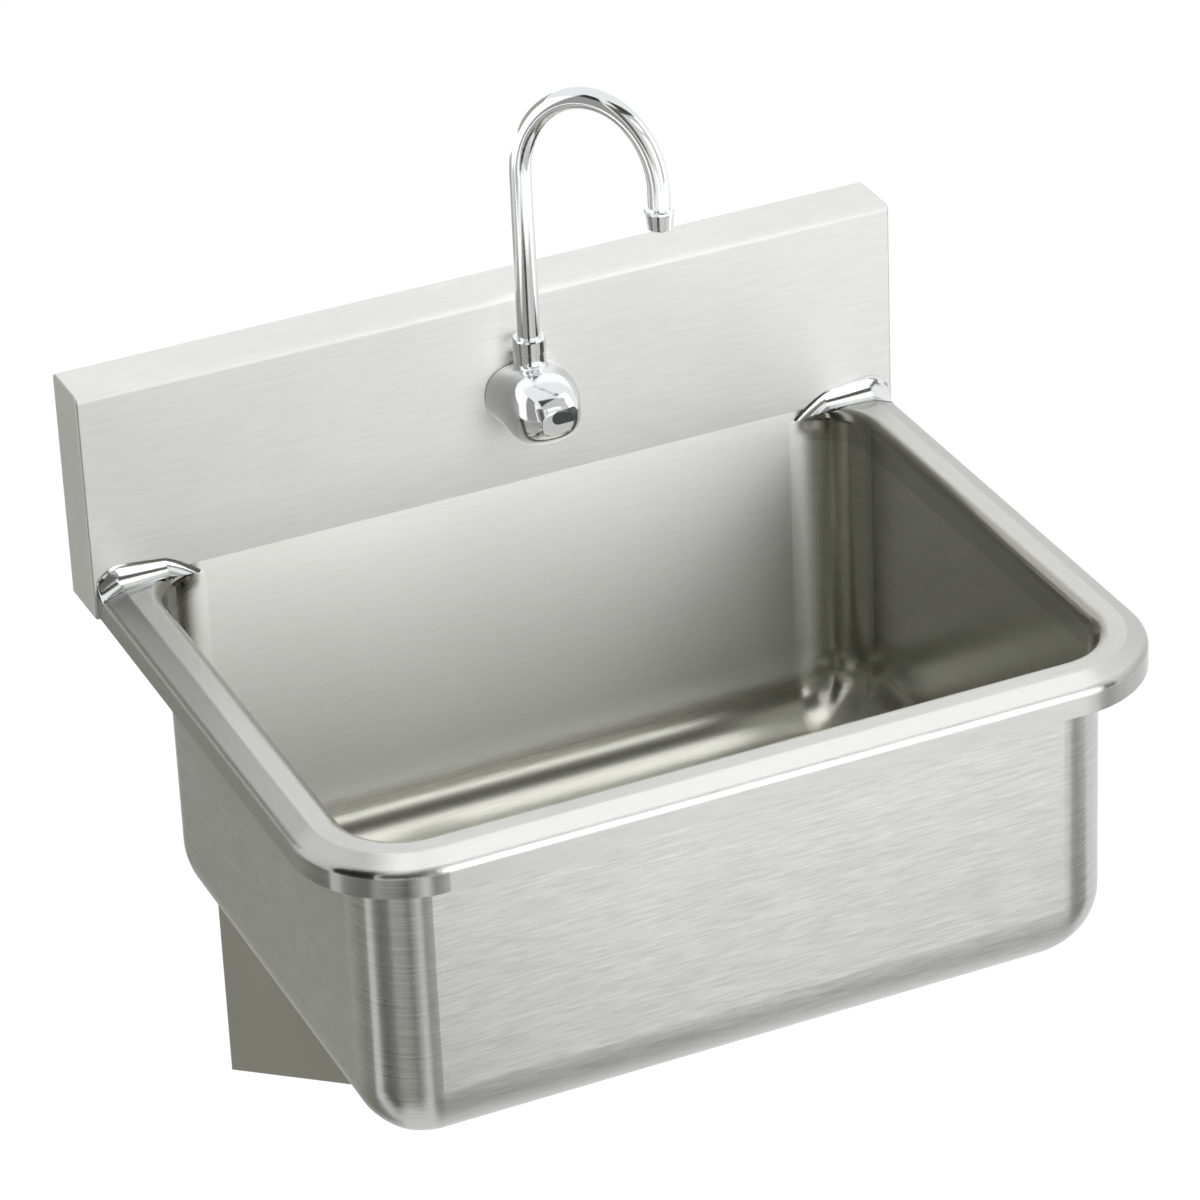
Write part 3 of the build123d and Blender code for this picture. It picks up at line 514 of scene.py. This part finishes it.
# %% Screw threads
tree = grow_tree("screw_thread", {"Radius": 0.01, "Pitch": 0.002, "Turns": 10.0, "Ridge": 0.0005})
given = tree.nodes.new("NodeGroupInput").outputs
rise = times(tree, given["Pitch"], given["Turns"])
spiral = add(tree, "GeometryNodeCurveSpiral", {
    "Resolution": 48, "Rotations": given["Turns"], "Start Radius": given["Radius"],
    "End Radius": given["Radius"], "Height": rise,
}).outputs[0]
ridge = add(
    tree, "GeometryNodeCurvePrimitiveCircle", {"Radius": given["Ridge"], "Resolution": 8}
).outputs[0]
thread = add(
    tree, "GeometryNodeCurveToMesh", {"Curve": spiral, "Profile Curve": ridge, "Fill Caps": True}
).outputs[0]
end_tree(tree, thread, given)
thread_tree = tree


def thread_piece(name, slot, radius, pitch, ridge, start, length, turned=None):
    """A thread over the given length, set at its lower end and turned onto its shaft."""
    turns = length / pitch
    mesh = grown_mesh(thread_tree, finishes[slot], {
        "Radius": radius, "Pitch": pitch, "Turns": turns, "Ridge": ridge,
    })
    matrix = Matrix.Translation(start) @ (turned or Matrix.Identity(4))
    return placed_piece(name, mesh, matrix, "sink")


drain_y = -0.253
nut_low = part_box("drain_locknut")[0].z
slip_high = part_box("drain_slip_nut")[1].z
thread_piece(
    "drain_thread", slot_of["drain_body"], 0.0235, 0.0022, 0.0006,
    (0, drain_y, slip_high + 0.001), nut_low - slip_high - 0.002,
)
shank_low, shank_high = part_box("tap_shank")
along_y = Matrix.Rotation(math.radians(-90), 4, "X")
shank_z = (shank_low.z + shank_high.z) / 2
shank_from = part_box("tap_shank_locknut")[1].y + 0.001
thread_piece(
    "shank_thread", slot_of["tap_shank"], 0.0106, 0.0018, 0.0005,
    (tap_x, shank_from, shank_z), shank_high.y - 0.0015 - shank_from, along_y,
)
stud_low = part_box("bowl_weld_studs")[0]
bolt_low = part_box("bracket_nuts")[0].z
for side in (-1, 1):
    for label, stud_y in (("front", -0.31), ("back", -0.12)):
        thread_piece(
            f"stud_thread_{label}_{'left' if side < 0 else 'right'}",
            slot_of["bowl_weld_studs"], 0.003, 0.001, 0.0003,
            (side * 0.2075, stud_y, stud_low.z + 0.0005), bolt_low - stud_low.z - 0.001,
        )

# %% [markdown]
# Where the rim meets the backsplash, a bead of weld was ground to a cove and buffed until
# it mirrors. On the solid this cove is a ruled strip in a few steps. A mirror shows every
# step, so a smooth skin lies over it here: at close stations along the rim's section, a
# round arc runs from the wall to the rim. The rim's section is walked from the lip's
# bend, up the slope and over the crown, to where the bead turns down into the bowl. More
# weld is left in mid span, so the arcs are larger there and the cove's upper edge is
# bowed. Each arc stands a hair proud of the solid's cove, which it covers.

# %% Smooth skin on the polished coves
slope_drop, slope_run = 0.0073, 0.0155
lip_bend, crown_bend, bead = 0.006, 0.005, 0.00945
rim_half = 0.3175 - 0.0035
back_corner = 0.045
cove_size, cove_proud = 0.0103, 0.0003
cove_span, cove_fuller = 0.042, 0.4
taper = 0.0045 * (0.4589 - 0.0468 - back_corner) / (0.4589 - 0.0468)


def rim_walk(steps):
    """Points and outward directions over the rim's section at the wall."""
    tilt = math.atan2(slope_drop, slope_run)
    bend_z = z_rim - slope_drop - lip_bend * math.tan((math.pi / 2 - tilt) / 2)
    walk = []
    for k in range(steps + 1):
        angle = math.pi / 2 + (tilt - math.pi / 2) * (0.25 + 0.75 * k / steps)
        x = rim_half - lip_bend + lip_bend * math.sin(angle)
        outward = Vector((math.sin(angle), 0, math.cos(angle)))
        walk.append((x, bend_z + lip_bend * math.cos(angle), outward))
    crown_x = rim_half - slope_run - crown_bend * math.tan(tilt / 2)
    for k in range(steps + 1):
        angle = tilt * (1 - k / steps)
        x = crown_x + crown_bend * math.sin(angle)
        z = z_rim - crown_bend + crown_bend * math.cos(angle)
        walk.append((x, z, Vector((math.sin(angle), 0, math.cos(angle)))))
    centre_x = bowl_half - taper - back_corner
    for k in range(3 * steps + 1):
        roll = math.radians(2 + 76 * k / (3 * steps))
        spare = bead * (1 - math.sin(roll))
        plan = math.acos(back_corner / (back_corner + spare))
        inward = Vector((-math.sin(plan), -math.cos(plan), 0))
        x = centre_x + (back_corner + spare) * math.sin(plan)
        z = z_rim - bead + bead * math.cos(roll)
        walk.append((x, z, inward * math.sin(roll) + Vector((0, 0, math.cos(roll)))))
    return walk


def cove_arc(x, z, normal, count):
    """One round arc of the cove, from the wall to the rim, fuller in mid span."""
    share = min(max((rim_half - x) / cove_span, 0.0), 1.0)
    size = cove_size * (1 + cove_fuller * math.sin(math.pi * share))
    point = Vector((x, y_splash, z))
    wall = Vector((0, -1, 0))
    run = normal.cross(wall).normalized()
    up_wall = wall.cross(run).normalized()
    on_rim = run.cross(normal).normalized()
    if up_wall.dot(normal) < 0:
        up_wall = -up_wall
    if on_rim.dot(wall) < 0:
        on_rim = -on_rim
    half_angle = up_wall.angle(on_rim) / 2
    reach = size / math.tan(half_angle)
    centre = point + (up_wall + on_rim).normalized() * (size / math.sin(half_angle))
    first = (point + up_wall * reach - centre).normalized()
    last = (point + on_rim * reach - centre).normalized()
    return [
        centre + first.slerp(last, k / count).normalized() * (size - cove_proud)
        for k in range(count + 1)
    ]


def cove_skin(name, side):
    arcs = [cove_arc(x, z, normal, 16) for x, z, normal in rim_walk(12)]
    points = [Vector((side * min(p.x, rim_half), p.y, p.z)) for arc in arcs for p in arc]
    width = len(arcs[0])
    faces = []
    for k in range(len(arcs) - 1):
        for m in range(width - 1):
            face = (k * width + m, k * width + m + 1, (k + 1) * width + m + 1, (k + 1) * width + m)
            faces.append(face if side < 0 else face[::-1])
    mesh = bpy.data.meshes.new(name)
    mesh.from_pydata(points, [], faces)
    mesh.validate()
    mesh.polygons.foreach_set("use_smooth", [True] * len(mesh.polygons))
    mesh.materials.append(cove_polish)
    return placed_piece(name, mesh, Matrix.Identity(4), "sink")


cove_polish = chrome_plate("buffed_steel", 0.17, 0.02)
for label, side in (("left", -1), ("right", 1)):
    cove_skin("weld_cove_" + label, side)

# %% [markdown]
# The camera stands to the left and above, as far back as a long lens needs. Its place and
# turn were worked out from the straight edges of the photograph. The three rows are the
# camera's own right, up and backward directions in the sink's frame.

# %% Camera
camera_data = bpy.data.cameras.new("camera")
camera = bpy.data.objects.new("camera", camera_data)
bpy.context.scene.collection.objects.link(camera)
right = Vector((0.907492, -0.418312, -0.038388))
up = Vector((0.237561, 0.435695, 0.868179))
back = Vector((-0.346444, -0.796985, 0.494764))
turn = Matrix((right, up, back)).transposed().to_4x4()
camera.matrix_world = Matrix.Translation((-1.414854, -3.469719, 2.034441 + z_lip)) @ turn
focal_pixels, frame_pixels = 5797.6, 1200
camera_data.sensor_width = 36.0
camera_data.lens = focal_pixels / frame_pixels * 36.0
camera_data.clip_end = 50.0
bpy.context.scene.camera = camera
print("lens", round(camera_data.lens, 1), "mm")

# %% [markdown]
# The studio is a white room: a white world and a pale floor under the sink. The camera
# and the reflections see both at full white, while the light they throw on the object is
# plain and weaker. Light Path tells the two apart, so nothing on the object gets brighter
# to make the background white, and the floor still keeps the sink's shadow.

# %% Floor and white surroundings
def background_mix(tree, plain, shown):
    """Use one shader for reflections and the camera, and the other for everything else."""
    path = add(tree, "ShaderNodeLightPath")
    seen = math_node(tree, "ADD", path.outputs["Is Camera Ray"], path.outputs["Is Glossy Ray"])
    seen = math_node(tree, "ADD", seen, path.outputs["Is Transmission Ray"])
    seen = math_node(tree, "MINIMUM", seen, 1.0)
    return add(tree, "ShaderNodeMixShader", {0: seen, 1: plain, 2: shown}).outputs[0]


world = bpy.data.worlds.new("white_room")
bpy.context.scene.world = world
world.use_nodes = True
tree = world.node_tree
plain = add(tree, "ShaderNodeBackground", {"Color": (1, 1, 1, 1), "Strength": 0.55}).outputs[0]
shown = add(tree, "ShaderNodeBackground", {"Color": (1, 1, 1, 1), "Strength": 1.0}).outputs[0]
tree.links.new(background_mix(tree, plain, shown), tree.nodes["World Output"].inputs["Surface"])

floor_z, floor_half = -0.98, 9
corners = [(-1, -1), (1, -1), (1, 1), (-1, 1)]
corners = [(x * floor_half, y * floor_half, floor_z) for x, y in corners]
floor_mesh = bpy.data.meshes.new("floor")
floor_mesh.from_pydata(corners, [], [(0, 1, 2, 3)])
floor = bpy.data.objects.new("floor", floor_mesh)
bpy.context.scene.collection.objects.link(floor)
floor_material, tree, shader = new_material("pale_floor", (0.9, 0.9, 0.9), 0.0, 0.8)
speck = add(tree, "ShaderNodeTexNoise", {"Scale": 3.0}).outputs["Fac"]
tree.links.new(spread(tree, speck, 0.3, 0.7, 0.78, 0.82), shader.inputs["Roughness"])
glow = add(tree, "ShaderNodeEmission", {"Color": (1, 1, 1, 1), "Strength": 1.06}).outputs[0]
half = add(tree, "ShaderNodeMixShader", {0: 0.92, 1: shader.outputs[0], 2: glow}).outputs[0]
tree.links.new(
    background_mix(tree, shader.outputs[0], half), tree.nodes["Material Output"].inputs["Surface"]
)
floor.data.materials.append(floor_material)
print("floor at", floor_z)

# %% [markdown]
# Satin steel and chrome want different rooms. The satin steel needs strong lamps and dark
# cards, to draw its soft bands. Chrome would mirror each of those as a hard patch. Light
# linking gives each its own lamps: the big ones pass over the tap, and cast no shadow of
# it, while three weak ones light the tap alone. Between the left and the front one a gap
# is left, which the tube shows as a dark line.

# %% Lamps
tap_pieces = bpy.data.collections.new("tap_pieces")
not_the_tap = bpy.data.collections.new("not_the_tap")
for piece in [spout] + [node for name, node in nodes.items() if slot_of[name] == "chrome"]:
    tap_pieces.objects.link(piece)
    not_the_tap.objects.link(piece)
for link in not_the_tap.collection_objects:
    link.light_linking.link_state = "EXCLUDE"


def soft_lamp(name, place, aim, size, power, tap_only=False):
    data = bpy.data.lights.new(name, "AREA")
    data.shape = "RECTANGLE"
    data.size, data.size_y = size
    data.energy = power
    lamp = bpy.data.objects.new(name, data)
    lamp.location = place
    lamp.rotation_euler = (Vector(aim) - Vector(place)).to_track_quat("-Z", "Y").to_euler()
    bpy.context.scene.collection.objects.link(lamp)
    lamp.visible_camera = False
    lamp.light_linking.receiver_collection = tap_pieces if tap_only else not_the_tap
    lamp.light_linking.blocker_collection = not_the_tap


soft_lamp("top_softbox", (0.75, -0.3, 2.9), (0.75, -0.3, 0), (2.8, 1.9), 13.5)
soft_lamp("window", (0.97, -2.4, 0.32), (0.65, 0, 0.1), (1.6, 1.3), 21)
soft_lamp("strip", (1.0, -2.4, 1.57), (0.6, 0, 0), (2.0, 0.36), 4.2)
soft_lamp("tap_left", (-0.275, -0.114, 0), (0.02, -0.062, 0), (0.64, 0.85), 0.55, tap_only=True)
soft_lamp("tap_front", (0.17, -0.32, 0), (0.02, -0.062, 0), (0.58, 0.85), 0.9, tap_only=True)
soft_lamp("tap_wall", (0.02, -0.0485, 0), (0.02, -1.0, 0), (0.6, 0.45), 0.17, tap_only=True)

# %% [markdown]
# The cards are the dark and grey gaps of the real studio, worked out from what the steel
# reflects. A card is given by its centre, its two half sides and its shade. Only
# reflections see it, and it casts no shadow.

# %% Dark cards
dark, black = (0.035, 0.036, 0.026), (0.0, 0.0, 0.0)
cards = {
    "gap_floor": ((-0.75, -1.7, -0.964), (0.22, 0.09, 0), (-0.1, 0.25, 0), black),
    "front_gap": ((-0.95, -2.35, 0.3), (0.035, -0.015, 0), (0, 0, 1.3), black),
    "front_dark": ((0.02, -2.38, 0.8), (0.15, 0, 0), (0, 0, 1.7), dark),
    "front_floor": ((0.02, -1.4, -0.965), (0.21, 0, 0), (0, 0.8, 0), dark),
    "floor_shade": ((0.75, -1.1, -0.97), (0.7, 0, 0), (0, 0.52, 0), (0.16, 0.16, 0.14)),
    "floor_left": ((-0.85, -1.3, -0.968), (0.5, 0, 0), (0, 0.5, 0), (0.4, 0.4, 0.36)),
    "high_front": ((1.0, -1.85, 2.45), (1.5, 0, 0), (0, -0.58, -0.45), (0.07, 0.072, 0.06)),
    "over_window": ((1.0, -2.45, 1.17), (1.5, 0, 0), (0, 0, 0.2), (0.2, 0.2, 0.17)),
    "front_right": ((2.1, -2.3, 1.0), (0.7, 0.1, 0), (0, 0, 1.75), (0.1, 0.1, 0.088)),
    "front_left": ((-1.3, -2.6, 1.05), (1.05, 0, 0), (0, 0, 1.55), (0.16, 0.162, 0.135)),
    "left_dark": ((-1.66, -0.98, 1.2), (0.22, -0.5, 0), (0, 0, 2.0), dark),
    "left_gap": ((-1.1, -0.9, -0.97), (0.5, 0, 0), (0, 0.4, 0), dark),
    "back_left": ((-1.3, 2.1, 0.6), (1.0, 0.5, 0), (0, 0, 0.75), (0.22, 0.225, 0.19)),
    "left_floor": ((-1.4, 1.35, -0.97), (1.1, 0, 0), (0, 1.6, 0), (0.28, 0.283, 0.245)),
}
for name, (centre, across, along, shade) in cards.items():
    c, a, b = Vector(centre), Vector(across), Vector(along)
    mesh = bpy.data.meshes.new(name)
    mesh.from_pydata([c - a - b, c + a - b, c + a + b, c - a + b], [], [(0, 1, 2, 3)])
    board = bpy.data.objects.new(name, mesh)
    bpy.context.scene.collection.objects.link(board)
    material, tree, shader = new_material(name, (0, 0, 0), 0.0, 1.0)
    tone = add(tree, "ShaderNodeEmission", {"Color": (*shade, 1.0), "Strength": 1.0})
    tree.links.new(tone.outputs[0], tree.nodes["Material Output"].inputs["Surface"])
    board.data.materials.append(material)
    board.visible_camera = False
    board.visible_diffuse = False
    board.visible_shadow = False
    board.visible_transmission = False
print("cards:", len(cards))

# %% [markdown]
# Last, the plain view transform.

# %% Finish
bpy.context.scene.view_settings.view_transform = "Standard"
